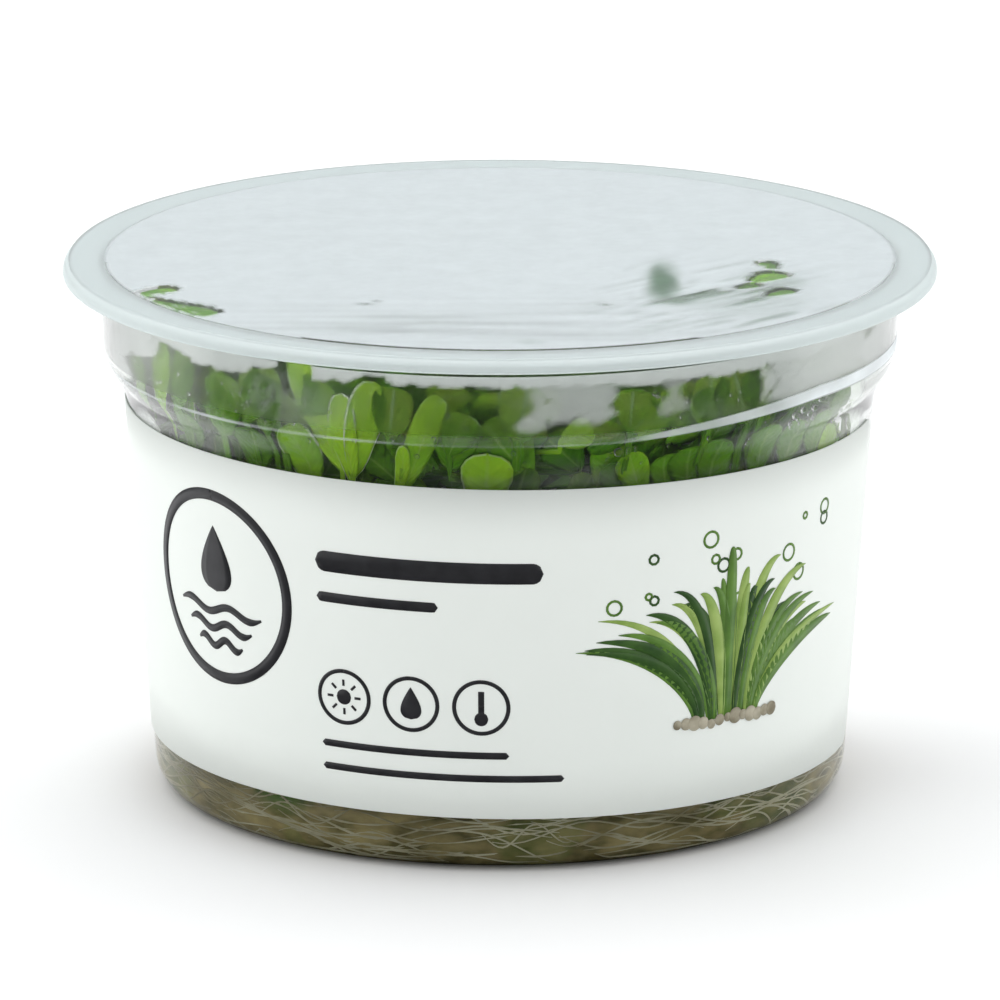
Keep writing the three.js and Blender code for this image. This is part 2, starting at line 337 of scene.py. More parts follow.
def see_through(name, tint, roughness, ior, milk=0.0, lamp_share=0.95, wobble=0.0):
    """A clear material that also lets a share of the lamps' light straight through."""
    values = {"Base Color": (*tint, 1), "Roughness": roughness, "IOR": ior, "Transmission Weight": 1 - milk}
    material, tree, shader = new_material(name, values)
    if wobble:
        add_bump(tree, shader, add_mottle(tree, 140, 1, (1, 1, 0.35)), wobble)
    path = tree.nodes.new("ShaderNodeLightPath")
    through = tree.nodes.new("ShaderNodeBsdfTransparent")
    through.inputs["Color"].default_value = (lamp_share, lamp_share, lamp_share, 1)
    mix = tree.nodes.new("ShaderNodeMixShader")
    tree.links.new(path.outputs["Is Shadow Ray"], mix.inputs["Fac"])
    tree.links.new(shader.outputs["BSDF"], mix.inputs[1])
    tree.links.new(through.outputs["BSDF"], mix.inputs[2])
    tree.links.new(mix.outputs["Shader"], tree.nodes["Material Output"].inputs["Surface"])
    return material


def ramp(value, start, end):
    """How far a value has gone from start to end, from 0 to 1."""
    return min(max((value - start) / (end - start), 0), 1)


def wander(x, y, z):
    """Smooth noise at a place, from -1 to 1."""
    return noise.noise(Vector((x, y, z)))


sheet_low = FLANGE_TOP - FLANGE_SHEET
lip_low = FLANGE_TOP - LIP_DEPTH
lip_in = FLANGE_R - LIP_THICK
cup_bm = turned([
    (0, 0, 0),
    (body_radius(0), 0, 3 * MM),
    (BODY_TOP_R, BODY_TOP, 1.4 * MM),
    (COLLAR_R, COLLAR_LOW, 1.4 * MM),
    (COLLAR_TOP_R, sheet_low, 0.4 * MM),
    (lip_in, sheet_low, 0.2 * MM),
    (lip_in, lip_low, 0.1 * MM),
    (FLANGE_R, lip_low, 0.2 * MM),
    (FLANGE_R, FLANGE_TOP, 1.1 * MM),
    (COLLAR_TOP_R - WALL, FLANGE_TOP, 0.35 * MM),
    (COLLAR_R - WALL, COLLAR_LOW, 1.4 * MM),
    (BODY_TOP_R - WALL, BODY_TOP, 1.4 * MM),
    (body_radius(0) - WALL, WALL, 2.5 * MM),
    (0, WALL, 0),
])
for face in cup_bm.faces:
    middle = face.calc_center_median()
    radius = math.hypot(middle.x, middle.y)
    if middle.z > lip_low and radius > COLLAR_TOP_R - WALL - 0.05 * MM:
        face.material_index = 2
    elif middle.z > DAMP_FROM and radius < inner_radius(middle.z) + WALL / 2:
        face.material_index = 1
cup_tree = bvhtree.BVHTree.FromBMesh(cup_bm)
cup = new_object("clear_cup", cup_bm)
cup.data.materials.append(see_through("clear_wall", WALL_TINT, 0.02, 1.49, wobble=0.02 * MM))
cup.data.materials.append(see_through("damp_wall", WALL_TINT, 0.28, 1.49))
cup.data.materials.append(see_through("milky_flange", FLANGE_TINT, 0.5, 1.49, milk=0.6, lamp_share=0.9))
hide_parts("cup")
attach(cup, "root")


def painted_highlight(place):
    """How much painted highlight the bend has at a place: a fine line, broader on the right, and a broad
    band.
    """
    x, y, z = (v / MM for v in place)
    right = ramp(x, 12, 34) if y < 12 else 0
    left = ramp(-x, 8, 30)
    patchy = 0.7 + 0.2 * right + 0.8 * (1 - 0.7 * right) * wander(x * 0.15, y * 0.15, z * 0.5)
    line = HIGHLIGHT_LINE + 1.9 * right
    half_width = 0.07 + 0.52 * right ** 0.6 + 0.06 * left
    fine = (0.24 + 0.72 * right + 0.25 * left) * ramp(abs(z - line), half_width + 0.12, half_width)
    broad = 0.13 * ramp(abs(x - 4), 18, 8) * ramp(abs(z - HIGHLIGHT_BAND), 0.65, 0.25) if y < 0 else 0
    return patchy * max(fine, broad)


def new_fog_and_highlight_material(name, white, lamp_share):
    """Fine droplets of fog, and the painted highlight on the bend: each covers as much as its mesh's amount
    says.
    """
    material, tree, shader = new_material(name, {"Roughness": 0.5})
    colour = add_colours(tree, add_attribute(tree, "fog_shade"), white, FOG_SHADE)
    tree.links.new(colour, shader.inputs["Base Color"])
    grain = add_range(tree, add_mottle(tree, 900, 2), to_min=0.93)
    cover = add_math(tree, "MULTIPLY", add_attribute(tree, "fog_and_highlight_amount"), grain)
    path = tree.nodes.new("ShaderNodeLightPath")
    lit = add_range(tree, path.outputs["Is Shadow Ray"], to_min=1, to_max=1 - lamp_share)
    tree.links.new(add_math(tree, "MULTIPLY", cover, lit, clamp=True), shader.inputs["Alpha"])
    return material


# A thin skin just outside the bend carries a painted white highlight in place of a lamp's reflection.
highlight_line = []
for i in range(HIGHLIGHT_ROWS + 1):
    z = HIGHLIGHT_LOW + (HIGHLIGHT_HIGH - HIGHLIGHT_LOW) * i / HIGHLIGHT_ROWS
    wall_at = cup_tree.ray_cast(Vector((FLANGE_R, 0, z)), Vector((-1, 0, 0)))[0]
    highlight_line.append((wall_at.x + HIGHLIGHT_PROUD, z))
highlight_bm = skin(highlight_line, HIGHLIGHT_STEPS)
paint(highlight_bm, "fog_and_highlight_amount", painted_highlight)
bend_highlight = new_object("painted_bend_highlight", highlight_bm)
bend_highlight.data.materials.append(new_fog_and_highlight_material("painted_bend_highlight", HIGHLIGHT_WHITE, 0.5))
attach(bend_highlight, "root")

# Gel
# A disc of nutrient jelly, poured into the bottom of the cup and set there, so it fills the corners.
# It has gone cloudy and brown with age, with green specks and a mossy patch at the left.
GEL_TOP = 11 * MM
GEL_MENISCUS = 0.5 * MM
GEL_INTO_WALL = 0.06 * MM
GEL_DARK = (0.125, 0.109, 0.041)
GEL_PALE = (0.4, 0.33, 0.155)
GEL_GREEN = (0.06, 0.17, 0.014)
GEL_PATCH = (-23 * MM, -29 * MM, 9.5 * MM)
GEL_PATCH_R = 6 * MM

gel_top_r = body_radius(GEL_TOP) - WALL + GEL_INTO_WALL
gel = new_object("nutrient_jelly", turned([
    (0, WALL - GEL_INTO_WALL, 0),
    (body_radius(0) - WALL + GEL_INTO_WALL, WALL - GEL_INTO_WALL, 2.5 * MM),
    (gel_top_r, GEL_TOP + GEL_MENISCUS, 0),
    (gel_top_r - 2 * GEL_MENISCUS, GEL_TOP, 0.6 * MM),
    (0, GEL_TOP, 0),
]))
gel_material, gel_tree, gel_shader = new_material("cloudy_jelly", {
    "Roughness": 0.2,
    "IOR": 1.34,
    "Subsurface Weight": 0.4,
    "Subsurface Radius": (1, 0.85, 0.5),
    "Subsurface Scale": 0.001,
})
gel_clouds = add_mottle(gel_tree, 210, 3.6, (1, 1, 2.6))
gel_flecks = add_math(gel_tree, "SUBTRACT", add_mottle(gel_tree, 55, 9), 0.75, clamp=True)
gel_place = gel_tree.nodes.new("ShaderNodeTexCoord")
gel_away = gel_tree.nodes.new("ShaderNodeVectorMath")
gel_away.operation = "DISTANCE"
gel_away.inputs[1].default_value = GEL_PATCH
gel_tree.links.new(gel_place.outputs["Object"], gel_away.inputs[0])
gel_patch = add_range(gel_tree, gel_away.outputs["Value"], GEL_PATCH_R, GEL_PATCH_R / 2)
gel_mossy = add_math(gel_tree, "MAXIMUM", gel_flecks, gel_patch)
gel_brown = add_colours(gel_tree, gel_clouds, GEL_DARK, GEL_PALE)
gel_colour = add_colours(gel_tree, gel_mossy, gel_brown, GEL_GREEN)
gel_tree.links.new(gel_colour, gel_shader.inputs["Base Color"])
gel.data.materials.append(gel_material)
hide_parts("gel")
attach(gel, "root")

# Roots
# Pale wiry roots that run round the bottom of the cup, pressed between the gel and the clear wall.
# Each is a thin curve of its own, and the thicker ones lie a little deeper.
ROOT_POINTS = 22
ROOT_DARK = (0.26, 0.225, 0.11)
ROOT_PALE = (0.64, 0.61, 0.43)
# Sets of roots: how many, thickness, how far they stand out of the gel, shortest and longest.
ROOT_SETS = [
    (200, 0.22 * MM, 0.08 * MM, 9, 26),
    (170, 0.42 * MM, 0.02 * MM, 12, 36),
]


def two_tone(name, roughness, low, high, scale, contrast):
    """A material mottled in two colours, and its main shader."""
    material, tree, shader = new_material(name, {"Roughness": roughness})
    colour = add_colours(tree, add_mottle(tree, scale, contrast), low, high)
    tree.links.new(colour, shader.inputs["Base Color"])
    return material, shader


chance = random.Random(7)
root_curve = bpy.data.curves.new("roots", "CURVE")
root_curve.dimensions = "3D"
root_curve.bevel_depth = MM
root_curve.bevel_resolution = 1
root_curve.use_fill_caps = True
for count, thick, proud, shortest, longest in ROOT_SETS:
    for _ in range(count):
        bearing = chance.uniform(0, 360)
        height = chance.uniform(0.9, 10.4) * MM
        length = chance.uniform(shortest, longest) * MM
        climb = chance.gauss(0, 0.12)
        wave = chance.uniform(0.3, 1.3) * MM
        pace = chance.uniform(3, 10)
        phase = chance.uniform(0, 6)
        spline = root_curve.splines.new("POLY")
        spline.points.add(ROOT_POINTS - 1)
        for i, point in enumerate(spline.points):
            t = i / (ROOT_POINTS - 1)
            z = height + climb * length * t + wave * math.sin(pace * t + phase)
            z = min(max(z, WALL + thick), GEL_TOP)
            low_corner = max(0, BASE_CORNER - z)
            inset = BASE_CORNER - math.sqrt(BASE_CORNER ** 2 - low_corner ** 2)
            radius = body_radius(z) - WALL + GEL_INTO_WALL - inset + proud - thick / 2
            turn = math.radians(bearing) + length * t / BASE_R
            point.co = (radius * math.sin(turn), -radius * math.cos(turn), z, 1)
            taper = 1 - 0.6 * abs(2 * t - 1) ** 3
            point.radius = thick / 2 / MM * chance.uniform(0.85, 1.15) * taper
roots = bpy.data.objects.new("roots", root_curve)
bpy.context.collection.objects.link(roots)
root_curve.materials.append(two_tone("root_skin", 0.4, ROOT_DARK, ROOT_PALE, 90, 4)[0])
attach(roots, "root")

# Shoots
# Shoots rooted in the gel, with opposite pairs of small spoon-shaped leaves.
# Leaves are thin and fleshy, lighter along the midrib, shiny with moisture, with a painted margin
# highlight.
STEM_R = 0.75 * MM
STEM_TOP_R = 0.45 * MM
LEAF_THICK = 0.2 * MM
# Rows of faces along a leaf, how many of them are its stalk, and columns across it.
FINE_LEAF = (13, 4, 6)
COARSE_LEAF = (9, 2, 2)
STALK_WIDE = 0.15
LAID_STALK = 0.3
LEAF_VALUES = ("along", "across", "tone", "margin_highlight")
PAIR_LOWEST = 20 * MM
SPROUT_LENGTH = 4.5 * MM
POCKET_DEPTH = 4 * MM
OUTER_RING_R = 30 * MM
OUTER_LEVELS = 9
INNER_RING_R = 16 * MM
INNER_RING_START = 30
INNER_LEVELS = 7
# Shoots: height, how far they lean out, turn of the lowest leaves in degrees, and reach of the leaves.
OUTER_RING = [
    (49, 3.4, 80, 6.4),
    (47, 3.6, 95, 6.4),
    (45, 3, 85, 6.2),
    (46, 2.6, 100, 6.4),
    (50, 3.4, 90, 6.2),
    (52, 3, 75, 6.4),
    (50, 2.6, 90, 6.4),
    (52, 3.2, 105, 6.2),
    (53, 3, 85, 6.4),
    (51, 3.4, 95, 6.4),
    (52, 4, 90, 6.4),
    (50, 3.8, 85, 6.2),
]
INNER_RING = [
    (47, 0.5, 40, 6.4),
    (54.2, 1.6, 10, 6.2),
    (48, 0.5, 70, 6.4),
    (47, 0, 20, 6.4),
    (49, 0.8, 50, 6.2),
    (46, 0.4, 30, 6.4),
]
MIDDLE_SHOOT = (46, 0.8, 15, 6)
# Leaves that lie on the wall: outer shoot, height where the stalk meets the wall, bearing and height
# of the foot of the blade, then of its tip, width, tone from dark to bright, and painted margin highlight.
WALL_LEAVES = [
    (9, 47, -77, 51, -73, 54.4, 2.6, 0.3, 0.9),
    (9, 43, -68, 46, -66, 52, 4.4, 0.6, 0.4),
    (10, 43, -54.4, 48, -52.4, 54, 5.2, 0.42, 0.1),
    (10, 39, -56, 42, -53, 47.4, 4.6, 0.34, 0),
    (11, 43, -39.6, 48.5, -36.6, 53.9, 5.4, 0.5, 0),
    (11, 42, -36, 47.5, -35.6, 53.6, 4.8, 0.46, 0),
    (11, 38, -41, 42, -39, 47.6, 5.4, 0.36, 0),
    (0, 47, -16, 48.5, -15.2, 54, 5, 0.34, 0),
    (1, 38, 33.6, 41, 35, 46.8, 5.8, 0.42, 0.1),
    (1, 38, 29.6, 41.4, 29.4, 46.4, 5.2, 0.4, 0),
    (2, 38, 43, 41.6, 43.6, 47.4, 5.8, 0.46, 0.1),
    (2, 38, 56.4, 42, 57, 47.2, 5.2, 0.5, 0.1),
    (1, 44, 31.4, 49.2, 31.8, 54.2, 5.4, 0.4, 0),
    (2, 44, 41, 49, 39.6, 54.2, 5, 0.44, 0),
    (10, 43, -60, 47, -58.4, 54.6, 4.4, 0.86, 1),
    (10, 50, -50.5, 53.5, -56, 44.3, 4.2, 0.5, 1),
    (11, 37, -29.5, 41.6, -32, 48.8, 5.6, 0.74, 0.5),
    (11, 39, -24.6, 44, -31, 57, 3.8, 1, 0.9),
    (11, 38, -23.2, 42.6, -23.4, 52.9, 3.6, 1, 1),
    (11, 38, -23, 43.4, -18.3, 54.5, 4.4, 0.84, 0.9),
    (11, 38, -46, 46, -43, 52.8, 6.6, 0.5, 0.1),
    (11, 42, -34, 49, -38, 54, 6.2, 0.42, 0.1),
    (0, 37, -15.3, 42, -8.6, 53.4, 3.6, 0.74, 0.2),
    (0, 37, -16, 41, -14, 47.8, 1.8, 1, 0.4),
    (0, 36, -2.6, 40, -1.8, 47.2, 6.2, 0.9, 0.5),
    (0, 44, -7.4, 47, -4.6, 51.4, 4.4, 0.3, 0.1),
    (0, 45, 2.4, 48.6, 4, 54.5, 6.4, 0.34, 0.1),
    (0, 47.4, 8.6, 48.4, 13.4, 49.8, 3.4, 0.78, 0.1),
    (1, 44, 19, 49.4, 19.4, 53.6, 4.9, 0.34, 0.3),
    (1, 38, 22.4, 41, 19.4, 46.6, 4, 0.74, 0),
    (1, 37, 27, 40.6, 25.4, 45.8, 4.2, 0.5, 0),
    (1, 45, 31.6, 48.6, 30.6, 52.8, 4.8, 0.5, 0.1),
    (1, 42, 38.6, 48.4, 35.8, 54.4, 7, 0.28, 0.1),
    (2, 37, 62.8, 39.8, 61, 44.4, 4.8, 0.98, 0.4),
    (2, 38, 49, 42, 51.6, 46.8, 5.6, 0.5, 0),
    (4, 42, 118, 46, 123, 52.8, 5.6, 0.66, 0.5),
    (5, 42, 152, 47, 145, 54.8, 6.2, 0.88, 0.7),
    (6, 40, 184, 44, 178, 50, 5.6, 0.55, 0.3),
    (7, 44, 203, 48.5, 210, 55, 5.4, 0.78, 0.6),
    (8, 40, 238, 44, 244, 51, 5.8, 0.6, 0.3),
]
# Leaves that lie under the film, by shoot: height on the stem, foot and tip of the blade, width, tone.
FILM_LEAVES = {
    "shoot_03": [
        (46, (27.2, -11.5, 60), (30.4, -7.6, 60), 3.6, 0.66),
        (46, (28.6, -18.4, 60), (31.2, -15.2, 60), 2.4, 0.4),
        (46, (25.6, -14.6, 60), (27.6, -12.6, 60), 1.8, 0.3),
        (46, (29.6, -5.8, 60), (28.6, -2.4, 60), 1.9, 0.45),
    ],
    "shoot_11": [
        (48, (-40, -18.4, 60), (-34.8, -14.8, 60), 3, 0.62),
        (48, (-38.6, -19.6, 60), (-30.4, -27, 60), 5.4, 0.5),
    ],
    "shoot_14": [(48, (18.6, -7, 51.4), (17.6, -3.6, 56.8), 4.6, 0.3)],
}
# Fogged gaps in the leaves near the wall, as bearing, half width in degrees, the height that the
# leaves below end at, and how dense the fog is.
CLEARINGS = [
    (10.6, 4.6, 50, 0.5),
    (25.4, 1.5, 50.3, 0.28),
    (53, 10.6, 50, 0.7),
    (84, 18, 46, 0.94),
    (-84, 22, 40, 0.97),
    (165, 7, 49, 0.5),
    (222, 8, 49.5, 0.6),
]
CANOPY_TOP = 54.3 * MM
WALL_LEAVES_EACH = 26
WALL_LEAVES_SPREAD = 32
WALL_LEAF_CLEARANCE = 0.45 * MM
HANG_BACK = 1.2 * MM
TOUCH_DEPTH = 0.8 * MM
FILM_LEAF_CLEARANCE = 0.32 * MM
LEAF_DARK = (0.038, 0.118, 0.006)
LEAF_MIDDLE = (0.135, 0.35, 0.014)
LEAF_BRIGHT = (0.38, 0.75, 0.03)
LEAF_RIB = (0.4, 0.62, 0.15)
LEAF_MARGIN_HIGHLIGHT = (0.85, 0.92, 0.75)
STEM_GREEN = (0.2, 0.32, 0.08)
STEM_PALE = (0.42, 0.5, 0.22)

wall_touches = []
film_touches = []


def around(radius, bearing, z):
    """A point at a radius, a bearing round the cup and a height. Bearing 0 is the front."""
    angle = math.radians(bearing)
    return Vector((radius * math.sin(angle), -radius * math.cos(angle), z))


def eased_stop(value, start, limit):
    """A value as it is up to start, and past that slowed so that it never goes over the limit."""
    if value <= start:
        return value
    return start + (limit - start) * (1 - math.exp((start - value) / (limit - start)))


def pressed(point, gap=0):
    """A point of a leaf kept inside the cup: the leaf lies against the wall or under the film."""
    radius = math.hypot(point.x, point.y)
    limit = inner_radius(point.z) - WALL_LEAF_CLEARANCE - gap
    kept = eased_stop(radius, limit - 0.8 * MM, limit)
    z = eased_stop(point.z, FLANGE_TOP - 1.2 * MM, FLANGE_TOP - FILM_LEAF_CLEARANCE)
    return Vector((point.x * kept / radius, point.y * kept / radius, z)) if radius else point


def note_touch(point):
    """Keeps the places of the wall and the film that leaves lie against, for the fog they wipe off."""
    if math.hypot(point.x, point.y) > inner_radius(point.z) - TOUCH_DEPTH:
        wall_touches.append(point)
    if point.z > FLANGE_TOP - TOUCH_DEPTH:
        film_touches.append(Vector((point.x, point.y, 0)))


def stem_line(foot, bearing, height, lean):
    """The middle of a stem at a height: straight up out of the gel, then leaning outward."""
    def line(z):
        t = max(0, (z - GEL_TOP) / (height - GEL_TOP))
        point = foot + around(1, bearing, 0) * lean * t * t
        return Vector((point.x, point.y, z))
    return line


def add_stem(bm, line, height):
    """A six-sided stem along its line, swollen at its joints."""
    foot = GEL_TOP - POCKET_DEPTH
    before = len(bm.verts)
    made = bmesh.ops.create_cone(
        bm, cap_ends=True, segments=6, radius1=STEM_R, radius2=STEM_TOP_R, depth=height - foot,
    )["verts"]
    bmesh.ops.translate(bm, vec=(0, 0, (height + foot) / 2), verts=made)
    upright = {e for v in made for e in v.link_edges if abs(e.verts[0].co.z - e.verts[1].co.z) > MM}
    bmesh.ops.subdivide_edges(bm, edges=list(upright), cuts=15)
    bm.verts.ensure_lookup_table()
    for vert in bm.verts[before:]:
        middle = line(vert.co.z)
        swell = 1 + 0.35 * math.cos(vert.co.z / MM * 1.35) ** 8
        vert.co.x = middle.x + vert.co.x * swell
        vert.co.y = middle.y + vert.co.y * swell


def leaf_row(row, rows, stalk_rows, stalk):
    """How far along a leaf a row of its mesh lies, and how wide the leaf is there."""
    if row <= stalk_rows:
        return stalk * row / stalk_rows, STALK_WIDE
    turn = math.pi * (row - stalk_rows) / (rows - stalk_rows)
    blade = (1 - math.cos(turn)) / 2
    wide = max(0, math.sin(turn)) ** 0.8 * (0.52 + 0.68 * blade)
    return stalk + (1 - stalk) * blade, max(wide, STALK_WIDE if blade < 0.5 else 0.04)


def bent(base, knee, tip):
    """The line of a leaf that bends smoothly from its base over a knee to its tip."""
    return lambda t: base.lerp(knee, t).lerp(knee.lerp(tip, t), t)


def laid(base, ankle, foot, tip):
    """The line of a leaf whose stalk runs out to an ankle and up to the foot of its flat blade."""
    def line(t):
        if t < LAID_STALK / 2:
            return base.lerp(ankle, 2 * t / LAID_STALK)
        if t < LAID_STALK:
            return ankle.lerp(foot, 2 * t / LAID_STALK - 1)
        return foot.lerp(tip, (t - LAID_STALK) / (1 - LAID_STALK))
    return line


def add_leaf(bm, line, face, width, tone, margin_highlight, fold, stalk=LAID_STALK, gap=0, mesh=FINE_LEAF):
    """A leaf along a line: its stalk, a round blade with a folded midrib and a wavy margin."""
    layers = [bm.verts.layers.float[name] for name in LEAF_VALUES]
    rows, stalk_rows, columns = mesh
    made = bmesh.ops.create_grid(bm, x_segments=rows, y_segments=columns, size=1)["verts"]
    own = line(1) / MM * 0.37
    lean = 0.9 * noise.noise(own)
    twist = 0.5 * noise.noise(own + Vector((9, 0, 0)))
    for vert in made:
        t, wide = leaf_row(round((vert.co.x + 1) / 2 * rows), rows, stalk_rows, stalk)
        across = vert.co.y
        ahead = line(min(1, t + 0.02)) - line(max(0, t - 0.02))
        side = ahead.cross(face).normalized()
        up = side.cross(ahead).normalized()
        ragged = 1 + 0.16 * noise.noise(own + Vector((3 * t, 2 * across, 0)))
        offset = (across * wide * ragged + lean * (1 - across * across) * t * (1 - t)) * width / 2
        wavy = noise.noise(own + Vector((4.5 * t, 1.5 * across, 5)))
        lift = fold * abs(across) ** 1.5 * wide * width * 0.22 + 0.16 * width * wavy * abs(across)
        lift += twist * offset
        vert.co = pressed(line(t) + side * offset + up * lift, gap)
        # The painted margin highlight comes in broken stretches along each side.
        broken = noise.noise(own + Vector((3.5 * t, 2 if across > 0 else -2, 7)))
        for layer, value in zip(layers, (t, across, tone, margin_highlight * min(max(0.4 + 2.2 * broken, 0), 1))):
            vert[layer] = value
    faces = list({f for v in made for f in v.link_faces})
    for place in [v.co.copy() for v in made] + [f.calc_center_median() for f in faces]:
        note_touch(place)
    bmesh.ops.solidify(bm, geom=faces, thickness=LEAF_THICK)


def new_leaf_material():
    """Mottled green, with a pale rib, painted white highlights on the margins and fine veins, by the values
    that a leaf keeps.
    """
    material, tree, shader = new_material("leaf_skin", {
        "Roughness": 0.35,
        "Specular IOR Level": 0.08,
        "Subsurface Weight": 0.3,
        "Subsurface Radius": (0.5, 1, 0.15),
        "Subsurface Scale": 0.0009,
    })
    along, across, tone, margin_highlight = [add_attribute(tree, name) for name in LEAF_VALUES]
    greens = tree.nodes.new("ShaderNodeValToRGB")
    greens.color_ramp.elements[0].color = (*LEAF_DARK, 1)
    greens.color_ramp.elements[1].color = (*LEAF_BRIGHT, 1)
    greens.color_ramp.elements.new(0.55).color = (*LEAF_MIDDLE, 1)
    darker = add_math(tree, "SUBTRACT", tone, 0.11)
    blotched = add_math(tree, "MULTIPLY_ADD", add_mottle(tree, 260, 2.5), 0.22, darker)
    tree.links.new(blotched, greens.inputs["Fac"])
    from_middle = add_math(tree, "ABSOLUTE", across)
    rib = add_range(tree, from_middle, 0.12, 0, 0, 0.28)
    # Painted highlight: the margin turns white where the leaf keeps a value for it.
    margin_highlight_mask = add_math(tree, "MULTIPLY", add_range(tree, from_middle, 0.9, 0.96), margin_highlight)
    ribbed = add_colours(tree, rib, greens.outputs["Color"], LEAF_RIB)
    tree.links.new(add_colours(tree, margin_highlight_mask, ribbed, LEAF_MARGIN_HIGHLIGHT), shader.inputs["Base Color"])
    slant = add_math(tree, "MULTIPLY", from_middle, -14)
    veins = add_math(tree, "SINE", add_math(tree, "MULTIPLY_ADD", along, 70, slant))
    add_bump(tree, shader, veins, 0.03 * MM, 0.6)
    return material


leaf_material = new_leaf_material()
stem_material = two_tone("stem_skin", 0.35, STEM_GREEN, STEM_PALE, 180, 2.5)[0]


def hang_leaf(bm, base, tip, face, width, droop, tone):
    """A plain leaf from base to tip that bows away from the straight line towards the way it faces."""
    side = (tip - base).cross(face).normalized()
    up = side.cross(tip - base).normalized()
    line = bent(base, base.lerp(tip, 0.5) + up * droop * 2, tip)
    add_leaf(bm, line, face, width, tone, 0, 0.5, 0.2, HANG_BACK, COARSE_LEAF)


def turn_between(bearing, other):
    """The angle between two bearings, from 0 to 180."""
    return abs((bearing - other + 180) % 360 - 180)


def leaf_ceiling(bearing):
    """The highest place for a leaf tip near the wall at a bearing, lower in the clearings."""
    for middle, half_width, top, _ in CLEARINGS:
        if turn_between(bearing, middle) < half_width:
            return top * MM
    return CANOPY_TOP


def add_pairs(bm, line, row, bearing, levels, chance):
    """The opposite pairs of leaves up a stem, with small side leaves between them."""
    height, _, turn, reach = row
    up = Vector((0, 0, 1))
    for level in range(levels):
        t = level / (levels - 1)
        z = PAIR_LOWEST + (height - 3 * MM - PAIR_LOWEST) * t
        for half in (0, 180):
            way = bearing + turn + 90 * level + half
            tip = line(z) + around(1, way + chance.uniform(-14, 14), 0) * reach * chance.uniform(0.85, 1.03)
            tip.z = z + (2 + 2.6 * t) * MM
            tone = chance.uniform(0.15, 0.75) * (0.55 + 0.45 * t)
            hang_leaf(bm, line(z), tip, up, 0.85 * reach, 0.5 * MM, tone)
            if chance.random() < 0.75:
                aside = around(1, way + chance.uniform(-60, 60), 0)
                knot = line(z) + aside * reach * 0.55
                knot.z = z + 3 * MM
                for twist in (-50, 50):
                    small = reach * chance.uniform(0.5, 0.75)
                    out = aside.copy()
                    out.rotate(Matrix.Rotation(math.radians(twist), 3, "Z"))
                    tip = knot + out * small
                    tip.z = min(knot.z + chance.uniform(0.5, 3) * MM, height + 4 * MM)
                    hang_leaf(bm, knot, tip, up, 0.8 * small, 0.4 * MM, tone * chance.uniform(0.6, 1.3))


def add_sprout(bm, line, row, bearing, chance):
    """The upright young leaves at the top of a stem."""
    height, _, turn, _ = row
    for half in (0, 180):
        for turned_by, size in ((45, 1), (135, 0.7)):
            out = around(1, bearing + turn + turned_by + half, 0)
            base = line(height - 0.3 * MM)
            tip = base + out * SPROUT_LENGTH * 0.45 * size
            tip.z = height + SPROUT_LENGTH * 0.8 * size
            hang_leaf(bm, base, tip, out, SPROUT_LENGTH * 0.7 * size, 0.3 * MM, chance.uniform(0.5, 0.9))


def scatter_leaves(bm, line, height, bearing, chance):
    """Further leaves that a shoot of the outer ring sends to the wall beside it."""
    for number in range(WALL_LEAVES_EACH):
        leaf_bearing = bearing + WALL_LEAVES_SPREAD * ((number + chance.random()) / WALL_LEAVES_EACH - 0.5)
        size = chance.uniform(5, 7.5) * MM
        slant = math.radians(chance.uniform(-100, 100))
        rise = size / 2 * math.cos(slant)
        swing = math.degrees(size / 2 * math.sin(slant) / COLLAR_R)
        top = min(leaf_ceiling(leaf_bearing), height + 9 * MM) - chance.uniform(0, 1) ** 1.5 * 16 * MM
        z = top - abs(rise) - 0.3 * size
        depth = chance.uniform(0.2, 3.5) * MM
        foot = around(inner_radius(z) - depth, leaf_bearing - swing, z - rise)
        tip = around(inner_radius(z) - depth, leaf_bearing + swing, z + rise)
        base = line(min(z - 3 * MM, height - 2 * MM))
        facing = around(1, leaf_bearing + chance.uniform(-35, 35), 0)
        facing.z = chance.uniform(-0.2, 0.5)
        tone = chance.uniform(0.2, 0.62)
        leaf_line = laid(base, base.lerp(foot, 0.6), foot, tip)
        add_leaf(bm, leaf_line, facing, size * chance.uniform(0.75, 0.95), tone, 0, 0.4, gap=depth)


